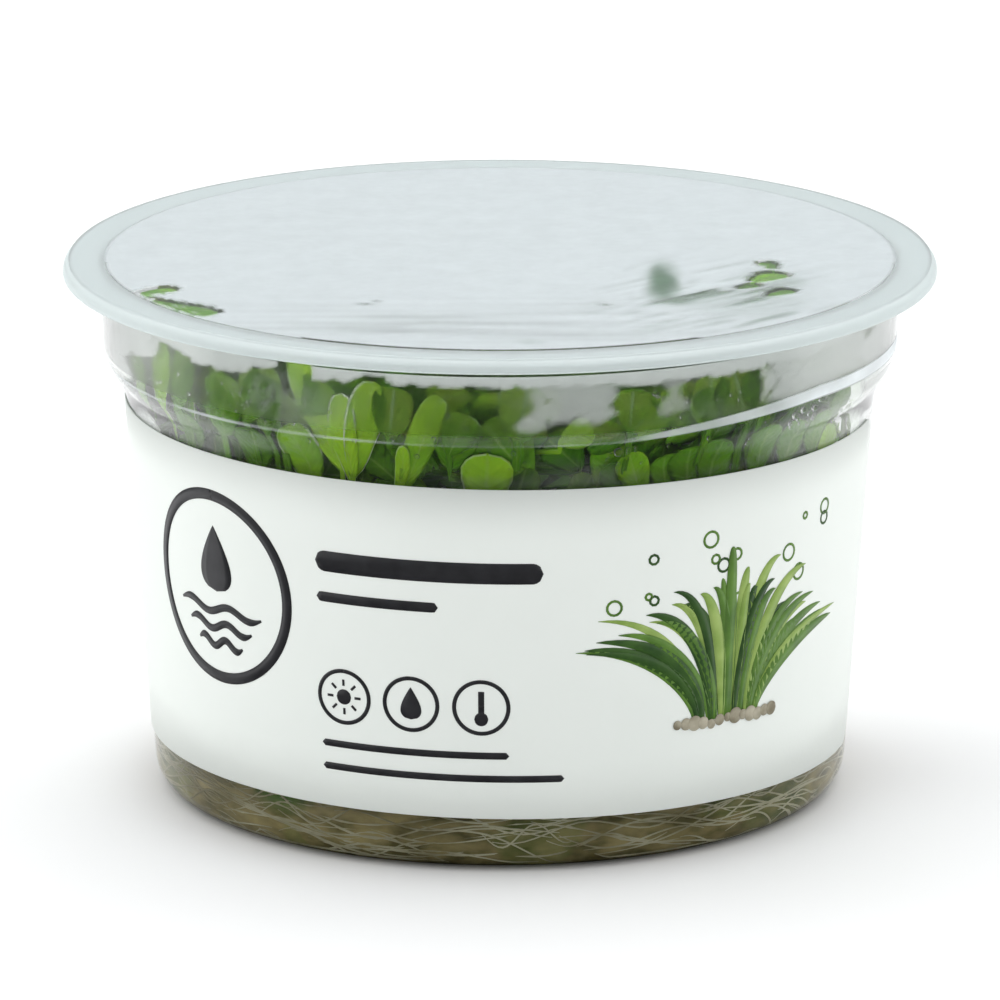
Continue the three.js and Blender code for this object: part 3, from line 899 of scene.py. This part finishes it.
def grow_shoot(node, ring_radius, bearing, row, wall_rows, chance):
    """A shoot with its own leaves, the leaves that the tables give it, and its stem."""
    height, lean, turn, reach = row
    row = (height * MM, lean * MM, turn, reach * MM)
    line = stem_line(around(ring_radius, bearing, 0), bearing, *row[:2])
    bm = bmesh.new()
    for name in LEAF_VALUES:
        bm.verts.layers.float.new(name)
    outer = ring_radius == OUTER_RING_R
    add_pairs(bm, line, row, bearing, OUTER_LEVELS if outer else INNER_LEVELS, chance)
    add_sprout(bm, line, row, bearing, chance)
    for _, ankle_z, foot_bearing, foot_z, tip_bearing, tip_z, width, tone, margin_highlight in wall_rows:
        ankle = around(inner_radius(ankle_z * MM), foot_bearing, ankle_z * MM)
        foot = around(inner_radius(foot_z * MM), foot_bearing, foot_z * MM)
        tip = around(inner_radius(tip_z * MM), tip_bearing, tip_z * MM)
        base = line(min(ankle_z - 2, height - 2) * MM)
        facing = around(1, tip_bearing, 0)
        add_leaf(bm, laid(base, ankle, foot, tip), facing, width * MM, tone, margin_highlight, 0.15)
    for low, foot, tip, width, tone in FILM_LEAVES.get(node, []):
        facing = Vector((0, 0, 1)) if foot[2] > FLANGE_TOP / MM else around(1, 0, 0)
        base, foot, tip = line(low * MM), Vector(foot) * MM, Vector(tip) * MM
        add_leaf(bm, laid(base, base.lerp(foot, 0.6), foot, tip), facing, width * MM, tone, 0.6, 0.1)
    if outer:
        scatter_leaves(bm, line, row[0], bearing, chance)
    leaf_faces = len(bm.faces)
    add_stem(bm, line, row[0])
    bmesh.ops.recalc_face_normals(bm, faces=bm.faces)
    bm.faces.ensure_lookup_table()
    for face in bm.faces[leaf_faces:]:
        face.material_index = 1
    shoot = new_object("leafy_" + node, bm)
    shoot.data.materials.append(leaf_material)
    shoot.data.materials.append(stem_material)
    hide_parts(node)
    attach(shoot, "root")


shoot_rows = []
for i, row in enumerate(OUTER_RING):
    near_wall = [leaf for leaf in WALL_LEAVES if leaf[0] == i]
    shoot_rows.append((OUTER_RING_R, 360 / len(OUTER_RING) * i, row, near_wall))
for i, row in enumerate(INNER_RING):
    shoot_rows.append((INNER_RING_R, INNER_RING_START + 360 / len(INNER_RING) * i, row, []))
shoot_rows.append((0, 0, MIDDLE_SHOOT, []))
for i, (ring_radius, bearing, row, near_wall) in enumerate(shoot_rows, 1):
    grow_shoot(f"shoot_{i:02d}", ring_radius, bearing, row, near_wall, random.Random(i))

# Sealing film
# A thin clear film welded over the flange. It is taut, with wrinkles over the leaves that push it up
# at the right and slack ripples at the front.
film_low, film_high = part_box("seal_film")
FILM_R = film_high.x
FILM_THICK = film_high.z - film_low.z
FILM_RINGS = 88
FILM_LIFT = 0.02 * MM
WRINKLES_AT = Vector((24, -20, 0))
RIPPLES_AT = Vector((-5, -31, 0))


def patch(x, y, middle, half_x, half_y):
    """How strongly a place in millimetres lies in a soft oval patch, from 0 to 1."""
    return math.exp(-((x - middle.x) / half_x) ** 2 - ((y - middle.y) / half_y) ** 2)


def wrinkle(x, y):
    """Fine folds of the film at a place in millimetres, from -1 to 1. They slant at the right."""
    along = x * 0.16 + 0.9 * wander(x * 0.12, y * 0.12, 3)
    return wander(along, (y - 0.9 * max(0, x - 9)) * 0.5, 7)


def film_rise(x, y):
    """How far the film stands off its flat place, in metres, at a place in metres."""
    x, y = x / MM, y / MM
    free = max(0, 1 - (math.hypot(x, y) * MM / (COLLAR_R - WALL)) ** 8)
    folds = 0.26 * patch(x, y, WRINKLES_AT, 10, 14) + 0.1 * patch(x, y, RIPPLES_AT, 22, 9)
    broad = 0.05 * wander(x * 0.05, y * 0.05, 0)
    return free * (folds * wrinkle(x, y) + broad) * MM


def disc(radius, z, steps):
    """A flat round sheet at a height, that faces up."""
    bm = skin([(radius * i / FILM_RINGS, z) for i in range(FILM_RINGS + 1)], steps)
    for face in bm.faces:
        if face.normal.z < 0:
            face.normal_flip()
    return bm


film_bm = disc(FILM_R, FLANGE_TOP + FILM_LIFT, TURN_STEPS)
for vert in film_bm.verts:
    vert.co.z += film_rise(vert.co.x, vert.co.y)
bmesh.ops.solidify(film_bm, geom=film_bm.faces[:], thickness=FILM_THICK - FILM_LIFT)
film = new_object("seal_film_sheet", film_bm)
film.data.materials.append(see_through("clear_film", (0.96, 0.975, 0.985), 0.03, 1.45, lamp_share=0.92))
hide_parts("seal_film")
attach(film, "root")

# Condensation
# A fog of fine water droplets under the film and inside the top of the wall. It is wiped off where
# leaves touch, and thinner over the ripples at the front.
FOG_DROP = 0.05 * MM
FOG_INSET = 0.1 * MM
FOG_THICK = 0.03 * MM
FOG_R = 43.05 * MM
FOG_FRONT_GAP = 0.75 * MM
FOG_BASE = 0.9
FOG_STEPS = 288
FOG_WHITE = (0.77, 0.82, 0.83)
FOG_LAMP_SHARE = 0.5
WALL_FOG_FROM = 42.6 * MM
WALL_FOG_TO = 55.6 * MM
STRIP_LOW = 54.3
WALL_FOG_WHITE = (0.97, 0.985, 0.965)
WALL_FOG_ROWS = 46
WALL_FOG_STEPS = 480
WIPE_FROM = 0.35 * MM
WALL_WIPE_TO = 0.55 * MM
FILM_WIPE_TO = 0.85 * MM
# Where the strip of fog under the flange ends lower or higher: bearing, half width in degrees without
# and with the soft edge, and the change in millimetres.
STRIP_STEPS = [
    (-45, 4, 8, -0.8),
    (36, 14, 18, -0.3),
    (-30.4, 2.4, 3.4, 3),
    (-18, 1.6, 2.6, 0.9),
]
# Places wiped clear, as x, y, half width, half depth in millimetres, and how much fog is gone.
WIPED = [
    (29, -14, 4, 4, 0.3),
    (-12, -34.5, 7, 1.2, 0.5),
    (8, -36, 9, 1, 0.5),
    (-14.4, -22.3, 0.9, 0.6, 1),
    (-13.2, -21, 0.6, 0.5, 0.9),
    (11.2, -22.7, 0.8, 0.5, 0.9),
    (29.3, -2.6, 1.2, 0.6, 0.8),
]
# Painted green shade where leaves lie close behind the fog, as x, y, half width, half depth and strength.
SHADES = [
    (17.4, -12.2, 1.7, 8.8, 1),
    (18.8, -20.5, 2.6, 2.6, 0.7),
    (3.1, -39, 1.5, 1.3, 0.2),
    (26, -21, 7, 7, 0.2),
    (30, -12, 3, 3, 0.3),
]


def wipe_map(touches):
    """The places that leaves touch, ready to be asked for the nearest one."""
    tree = kdtree.KDTree(len(touches))
    for i, place in enumerate(touches):
        tree.insert(place, i)
    tree.balance()
    return tree


def left_over(tree, place, wipe_to):
    """The share of fog that leaves have left at a place, from 0 where they touch to 1 clear of them."""
    away = tree.find(place)[2] + 0.3 * MM * noise.noise(place / MM * 0.9)
    return ramp(away, WIPE_FROM, wipe_to)


def fog_density(x, y):
    """The share of light that the fog stops at a place in millimetres."""
    streaks = 0.5 + wander(x * 0.05, y * 0.5, 1)
    fog = FOG_BASE - 0.42 * patch(x, y, RIPPLES_AT, 27, 9) * (0.25 + streaks)
    folds = max(0, wrinkle(x, y) - 0.02)
    fog -= 1.2 * folds * patch(x, y, WRINKLES_AT, 10, 13)
    fog += 0.05 * wander(x * 0.3, y * 0.3, 5)
    for px, py, half_x, half_y, gone in WIPED:
        fog *= 1 - gone * patch(x, y, Vector((px, py, 0)), half_x, half_y)
    radius = math.hypot(x, y) * MM
    edge = FOG_R - FOG_FRONT_GAP * max(0, -y / max(radius / MM, 1)) ** 3
    return min(max(fog, 0), 1) if radius <= edge else 0


def fog_shade(x, y):
    """How strongly green shade is painted on the fog at a place in millimetres, where leaves lie close
    behind it.
    """
    wavy = 0.5 * wander(x * 0.6, y * 0.2, 4)
    # The painted shade also follows the wrinkles that leaves push up.
    shade = 1.4 * max(0, wrinkle(x, y)) * patch(x, y, WRINKLES_AT, 9, 11)
    for px, py, half_x, half_y, strength in SHADES:
        away = ((x - px + wavy) / half_x) ** 2 + ((y - py) / half_y) ** 2
        shade = max(shade, strength * math.exp(-away ** 2))
    return min(shade, 1)


def film_fog_amount(at):
    """How much fog covers a place under the film, less what the leaves wipe off."""
    return fog_density(at.x / MM, at.y / MM) * left_over(film_wipes, Vector((at.x, at.y, 0)), FILM_WIPE_TO)


fog_bm = disc(FOG_R, FLANGE_TOP - FOG_DROP, FOG_STEPS)
film_wipes = wipe_map(film_touches)
paint(fog_bm, "fog_and_highlight_amount", film_fog_amount)
paint(fog_bm, "fog_shade", lambda at: fog_shade(at.x / MM, at.y / MM))
for vert in fog_bm.verts:
    vert.co.z += film_rise(vert.co.x, vert.co.y)
bmesh.ops.solidify(fog_bm, geom=fog_bm.faces[:], thickness=FOG_THICK)
fog = new_object("film_fog", fog_bm)


def wall_fog_density(bearing, z):
    """The share of light that the fog on the wall stops at a bearing and a height in millimetres."""
    low = STRIP_LOW + 0.5 * wander(bearing * 0.13, 0, 2) + 0.4 * wander(bearing * 0.6, 0, 4)
    for middle, within, out, change in STRIP_STEPS:
        low += change * ramp(abs(bearing - middle), out, within)
    fog = ramp(z, low, low + 0.4)
    for middle, half_width, top, dense in CLEARINGS:
        wide = max(0, half_width - 11)
        away = turn_between(bearing, middle)
        away += (4.5 + wide) * wander(middle + bearing * 0.02, z * 0.35, 6)
        low = top + (1.8 + 0.35 * wide) * wander(bearing * 0.14, 1, 8)
        inside = ramp(away, half_width + 1.5, half_width + 0.3) * ramp(z, low, low + 0.8)
        fog = max(fog, dense * inside * (0.95 + 0.15 * wander(bearing * 0.2, z * 0.3, 3)))
    fog = max(fog, 0.12 * wander(bearing * 0.05, z * 0.2, 9))
    return fog * ramp(z, WALL_FOG_FROM / MM, WALL_FOG_FROM / MM + 0.8)


def wall_fog_amount(at):
    """How much fog covers a place on the wall, less what the leaves wipe off."""
    fog = wall_fog_density(math.degrees(math.atan2(at.x, -at.y)), at.z / MM)
    return fog * left_over(wall_wipes, at, WALL_WIPE_TO)


fog_rows = [
    WALL_FOG_FROM + (WALL_FOG_TO - WALL_FOG_FROM) * i / WALL_FOG_ROWS for i in range(WALL_FOG_ROWS + 1)
]
wall_fog_bm = skin([(inner_radius(z) - FOG_INSET, z) for z in fog_rows], WALL_FOG_STEPS)
wall_wipes = wipe_map(wall_touches)
paint(wall_fog_bm, "fog_and_highlight_amount", wall_fog_amount)
bmesh.ops.solidify(wall_fog_bm, geom=wall_fog_bm.faces[:], thickness=-FOG_THICK)
wall_fog = new_object("wall_fog", wall_fog_bm)
for piece, name, white in ((fog, "film_fog", FOG_WHITE), (wall_fog, "wall_fog", WALL_FOG_WHITE)):
    piece.data.materials.append(new_fog_and_highlight_material(name, white, FOG_LAMP_SHARE))
    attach(piece, "root")

# Label
# A coated white paper label wrapped round the tapered body, with rounded corners and a narrow gap.
# It is glued on slightly askew, and stands off the wall by the thickness of the glue.
LABEL_GAP = 0.04 * MM
LABEL_THICK = 0.15 * MM
LABEL_LOW = 6.1 * MM
LABEL_HIGH = 42.9 * MM
LABEL_SKEW = 0.012
LABEL_CORNER = 2 * MM
LABEL_FIRST = 110
LABEL_WRAP = 330
LABEL_BUNCH = 0.11
PAPER = (0.905, 0.945, 0.9)
PAPER_SHADE = (0.88, 0.92, 0.875)

label_middle_r = body_radius((LABEL_LOW + LABEL_HIGH) / 2)
label_length = math.radians(LABEL_WRAP) * label_middle_r
label_start = math.radians(LABEL_FIRST) * label_middle_r


def on_label(distance, height, proud):
    """A point on the label: the distance round from the front, a height and how far it stands out."""
    bearing = math.degrees(distance / label_middle_r)
    z = height - LABEL_SKEW * BODY_TOP_R * math.sin(math.radians(bearing))
    return around(body_radius(z) + LABEL_GAP + proud, bearing, z)


label_bm = bmesh.new()
bmesh.ops.create_grid(label_bm, x_segments=260, y_segments=6, size=1)
for vert in label_bm.verts:
    share = (vert.co.x + 1) / 2
    distance = label_length * (share - LABEL_BUNCH * math.sin(2 * math.pi * share))
    near_end = min(distance, label_length - distance)
    inset = 0
    if near_end < LABEL_CORNER:
        inset = LABEL_CORNER - math.sqrt(LABEL_CORNER ** 2 - (LABEL_CORNER - near_end) ** 2)
    low = LABEL_LOW + inset
    high = LABEL_HIGH - inset
    vert.co = on_label(label_start + distance, low + (high - low) * (vert.co.y + 1) / 2, 0)
bmesh.ops.recalc_face_normals(label_bm, faces=label_bm.faces)
bmesh.ops.solidify(label_bm, geom=label_bm.faces[:], thickness=LABEL_THICK)
bmesh.ops.recalc_face_normals(label_bm, faces=label_bm.faces)
label = new_object("wrap_label", label_bm)
paper, paper_shader = two_tone("coated_paper", 0.42, PAPER_SHADE, PAPER, 70, 2)
paper_shader.inputs["Specular IOR Level"].default_value = 0.4
add_bump(paper.node_tree, paper_shader, add_mottle(paper.node_tree, 2600, 1), 0.01 * MM)
label.data.materials.append(paper)
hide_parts("label")
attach(label, "root")

# Label print
# A plain generic print in dark and green inks: a ring badge with a drop over waves, rounded bars,
# three care signs, and a tuft of grass blades with bubbles. It carries no words.
PRINT_PROUD = LABEL_THICK + 0.03 * MM
INK_THICK = 0.02 * MM
PRINT_CELL = 1.2 * MM
PRINT_LAYER = 0.0015 * MM
INKS = [
    ("dark_ink", (0.018, 0.018, 0.021), (0.03, 0.03, 0.034)),
    ("deep_green_ink", (0.02, 0.07, 0.012), (0.05, 0.13, 0.018)),
    ("mid_green_ink", (0.07, 0.17, 0.02), (0.13, 0.27, 0.035)),
    ("light_green_ink", (0.22, 0.36, 0.06), (0.36, 0.5, 0.13)),
    ("pebble_ink", (0.22, 0.19, 0.12), (0.5, 0.46, 0.35)),
]
DARK_INK, DEEP_GREEN, MID_GREEN, LIGHT_GREEN, PEBBLE = range(5)

print_bm = bmesh.new()


def add_strip(ink, line, half_width, steps, layer=0):
    """A printed strip along a line of (distance, height) in millimetres, with its half width."""
    widest = max(half_width(i / steps) for i in range(steps + 1)) * MM
    rows = max(1, math.ceil(2 * widest / PRINT_CELL))
    made = bmesh.ops.create_grid(print_bm, x_segments=steps, y_segments=rows, size=1)["verts"]
    for vert in made:
        t = (vert.co.x + 1) / 2
        here = Vector(line(t))
        ahead = Vector(line(min(1, t + 0.01))) - Vector(line(max(0, t - 0.01)))
        across = Vector((-ahead.y, ahead.x)).normalized() * half_width(t) * vert.co.y
        proud = PRINT_PROUD + layer * PRINT_LAYER
        vert.co = on_label((here.x + across.x) * MM, (here.y + across.y) * MM, proud)
    for face in {f for v in made for f in v.link_faces}:
        face.material_index = ink


def straight(x0, y0, x1, y1):
    """The straight line between two places on the label."""
    return lambda t: (x0 + (x1 - x0) * t, y0 + (y1 - y0) * t)


def add_ring(ink, x, y, radius, half_width):
    """A printed ring."""
    def line(t):
        angle = 2 * math.pi * t
        return x + radius * math.sin(angle), y + radius * math.cos(angle)
    add_strip(ink, line, lambda t: half_width, max(8, int(radius * 18)))


def add_bar(ink, x0, x1, y, half_width, steps=0, layer=0):
    """A printed level bar with round ends."""
    def rounded(t):
        end = min(t, 1 - t) * (x1 - x0) / half_width
        return half_width * (math.sqrt(max(0, 1 - (1 - end) ** 2)) if end < 1 else 1)
    add_strip(ink, straight(x0, y, x1, y), rounded, steps or max(16, int((x1 - x0) * 3)), layer)


def add_dot(ink, x, y, radius, layer=0):
    """A printed round dot."""
    add_bar(ink, x - radius, x + radius, y, radius, 14, layer)


def add_drop(ink, x, y, height, half_width):
    """A printed water drop with its point up."""
    def fullness(t):
        return half_width * math.sin(math.pi * max(t, 0) ** 0.55) ** 0.9 if t < 0.999 else 0
    add_strip(ink, straight(x, y, x, y + height), fullness, 22)


def add_wave(ink, x0, x1, y, swing, half_width):
    """A printed wavy line with tapered ends."""
    def line(t):
        return x0 + (x1 - x0) * t, y + swing * math.sin(4 * math.pi * t)
    def tapered(t):
        return half_width * min(1, 0.3 + 6 * min(max(t, 0), max(1 - t, 0)))
    add_strip(ink, line, tapered, 40)


def add_blade(ink, foot, reach, tall, bend, wide, layer):
    """A printed blade of grass that bends over."""
    def line(t):
        t = max(t, 0)
        return foot + reach * t ** (1 + bend), TUFT_Y + tall * math.sin(math.pi / 2 * t) ** 0.9
    def half_width(t):
        return wide * math.sin(math.pi * (0.12 + 0.88 * max(t, 0))) ** 0.7 if t < 0.995 else 0.02
    add_strip(ink, line, half_width, 18, layer)


BADGE_X, BADGE_Y, BADGE_R = -34, 28, 10.2
add_ring(DARK_INK, BADGE_X, BADGE_Y, BADGE_R, 0.62)
add_drop(DARK_INK, BADGE_X, BADGE_Y - 0.6, 7.4, 2.5)
for i in range(3):
    half = 6.6 - 1.5 * i
    add_wave(DARK_INK, BADGE_X - half, BADGE_X + half, BADGE_Y - 2.6 - 1.9 * i, 0.45, 0.42)

add_bar(DARK_INK, -20, 4.5, 33.6, 1.15)
add_bar(DARK_INK, -20, -6.5, 29.6, 0.55)
add_bar(DARK_INK, -20, 1, 13.2, 0.38)
add_bar(DARK_INK, -20, 7, 10.6, 0.38)

LIGHT_X, WATER_X, WARMTH_X, SIGN_Y = -17.2, -9.6, -2, 18.6
for x in (LIGHT_X, WATER_X, WARMTH_X):
    add_ring(DARK_INK, x, SIGN_Y, 2.9, 0.22)
add_dot(DARK_INK, LIGHT_X, SIGN_Y, 0.85)
for ray in range(8):
    out_x = math.sin(math.radians(45 * ray))
    out_y = math.cos(math.radians(45 * ray))
    ends = [v for far in (1.25, 1.95) for v in (LIGHT_X + far * out_x, SIGN_Y + far * out_y)]
    add_strip(DARK_INK, straight(*ends), lambda t: 0.14, 3)
add_drop(DARK_INK, WATER_X, SIGN_Y - 1.7, 3.6, 1.15)
add_dot(DARK_INK, WARMTH_X, SIGN_Y - 1.3, 0.75)
add_bar(DARK_INK, WARMTH_X - 0.3, WARMTH_X + 0.3, SIGN_Y, 0.28)
add_strip(DARK_INK, straight(WARMTH_X, SIGN_Y - 1.3, WARMTH_X, SIGN_Y + 1.8), lambda t: 0.32, 8)

BLADES = 34
PEBBLES = 13
BUBBLES = 16
TUFT_X, TUFT_Y = 26.5, 15.5
chance = random.Random(12)
for i in range(BLADES):
    spread = (i + 0.5) / BLADES * 2 - 1
    foot = TUFT_X + spread * 4.5 + chance.uniform(-0.5, 0.5)
    reach = spread * 15 + chance.uniform(-1.5, 1.5)
    tall = (21 - 11 * abs(spread)) * chance.uniform(0.65, 1)
    bend = chance.uniform(0.35, 0.7)
    wide = chance.uniform(0.45, 0.85)
    ink = chance.choice((DEEP_GREEN, MID_GREEN, MID_GREEN, LIGHT_GREEN))
    add_blade(ink, foot, reach, tall, bend, wide, 1 + i * 17 % BLADES)
for i in range(PEBBLES):
    y = TUFT_Y - 0.2 + chance.uniform(-0.3, 0.3)
    add_dot(PEBBLE, TUFT_X - 6.6 + 1.1 * i, y, chance.uniform(0.5, 0.95), BLADES + 2 + i)
for _ in range(BUBBLES):
    ink = chance.choice((DEEP_GREEN, MID_GREEN))
    x = TUFT_X + chance.uniform(-15, 15)
    add_ring(ink, x, chance.uniform(28, 37), chance.uniform(0.35, 0.95), 0.14)

bmesh.ops.remove_doubles(print_bm, verts=print_bm.verts, dist=1e-7)
for face in print_bm.faces:
    face.normal_update()
    middle = face.calc_center_median()
    if face.normal.x * middle.x + face.normal.y * middle.y < 0:
        face.normal_flip()
bmesh.ops.solidify(print_bm, geom=print_bm.faces[:], thickness=INK_THICK)
label_print = new_object("label_print", print_bm)
for name, low, high in INKS:
    label_print.data.materials.append(two_tone(name, 0.38, low, high, 380, 3)[0])
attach(label_print, "root")

# Water drops
# Beads of condensed water that sit on the inside of the clear wall and under the film. Most gather
# in clusters, and each is flattened against the surface that it hangs on.
# Clusters on the wall: bearing, height, half width, half height, how many, smallest and biggest.
BEAD_CLUSTERS = [
    (-40.2, 50.7, 2, 1.5, 34, 0.06, 0.18),
    (-34.7, 51.3, 2, 1.3, 30, 0.06, 0.17),
    (-29.9, 50.6, 1.2, 1.8, 26, 0.07, 0.22),
    (-15, 48.4, 2, 0.3, 3, 0.15, 0.25),
    (17.5, 46.8, 0.2, 0.2, 1, 0.5, 0.5),
    (18, 46.2, 2.5, 1.2, 8, 0.12, 0.3),
    (34.6, 44.9, 0.1, 0.1, 1, 0.6, 0.6),
    (15, 51, 1.5, 0.8, 3, 0.25, 0.35),
    (25, 52, 3, 2, 16, 0.14, 0.4),
    (29.7, 55.4, 1, 0.5, 3, 0.25, 0.35),
    (35, 51.5, 2.5, 0.6, 6, 0.12, 0.25),
    (50, 47.6, 4, 1.6, 12, 0.15, 0.42),
    (180, 49, 180, 4, 170, 0.08, 0.3),
]
BEAD_FLAT = 0.55
BEAD_SINK = 0.06 * MM
FILM_BEADS = 60
chance = random.Random(3)
bead_bm = bmesh.new()


def add_bead(place, outward, radius):
    """A bead of water, flattened against the surface that it hangs on."""
    turn = outward.to_track_quat("Z", "Y").to_matrix().to_4x4()
    flat = Matrix.Diagonal((1, 1, BEAD_FLAT, 1))
    bmesh.ops.create_icosphere(
        bead_bm, subdivisions=2, radius=radius,
        matrix=Matrix.Translation(place - outward * radius * 0.57) @ turn @ flat,
    )


for bearing, height, half_width, half_height, count, smallest, biggest in BEAD_CLUSTERS:
    for _ in range(count):
        at = bearing + chance.uniform(-half_width, half_width)
        z = (height + chance.uniform(-half_height, half_height)) * MM
        if z < 57 * MM:
            radius = chance.uniform(smallest, biggest) * MM
            add_bead(around(inner_radius(z) - BEAD_SINK, at, z), around(1, at, 0), radius)
for _ in range(FILM_BEADS):
    at = around(chance.uniform(3, 41) * MM, chance.uniform(0, 360), FLANGE_TOP - FOG_DROP - BEAD_SINK)
    at.z += film_rise(at.x, at.y)
    add_bead(at, Vector((0, 0, 1)), chance.uniform(0.12, 0.4) * MM)
beads = new_object("water_drops", bead_bm)
beads.data.materials.append(see_through("water", (1, 1, 1), 0, 1.333))
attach(beads, "root")
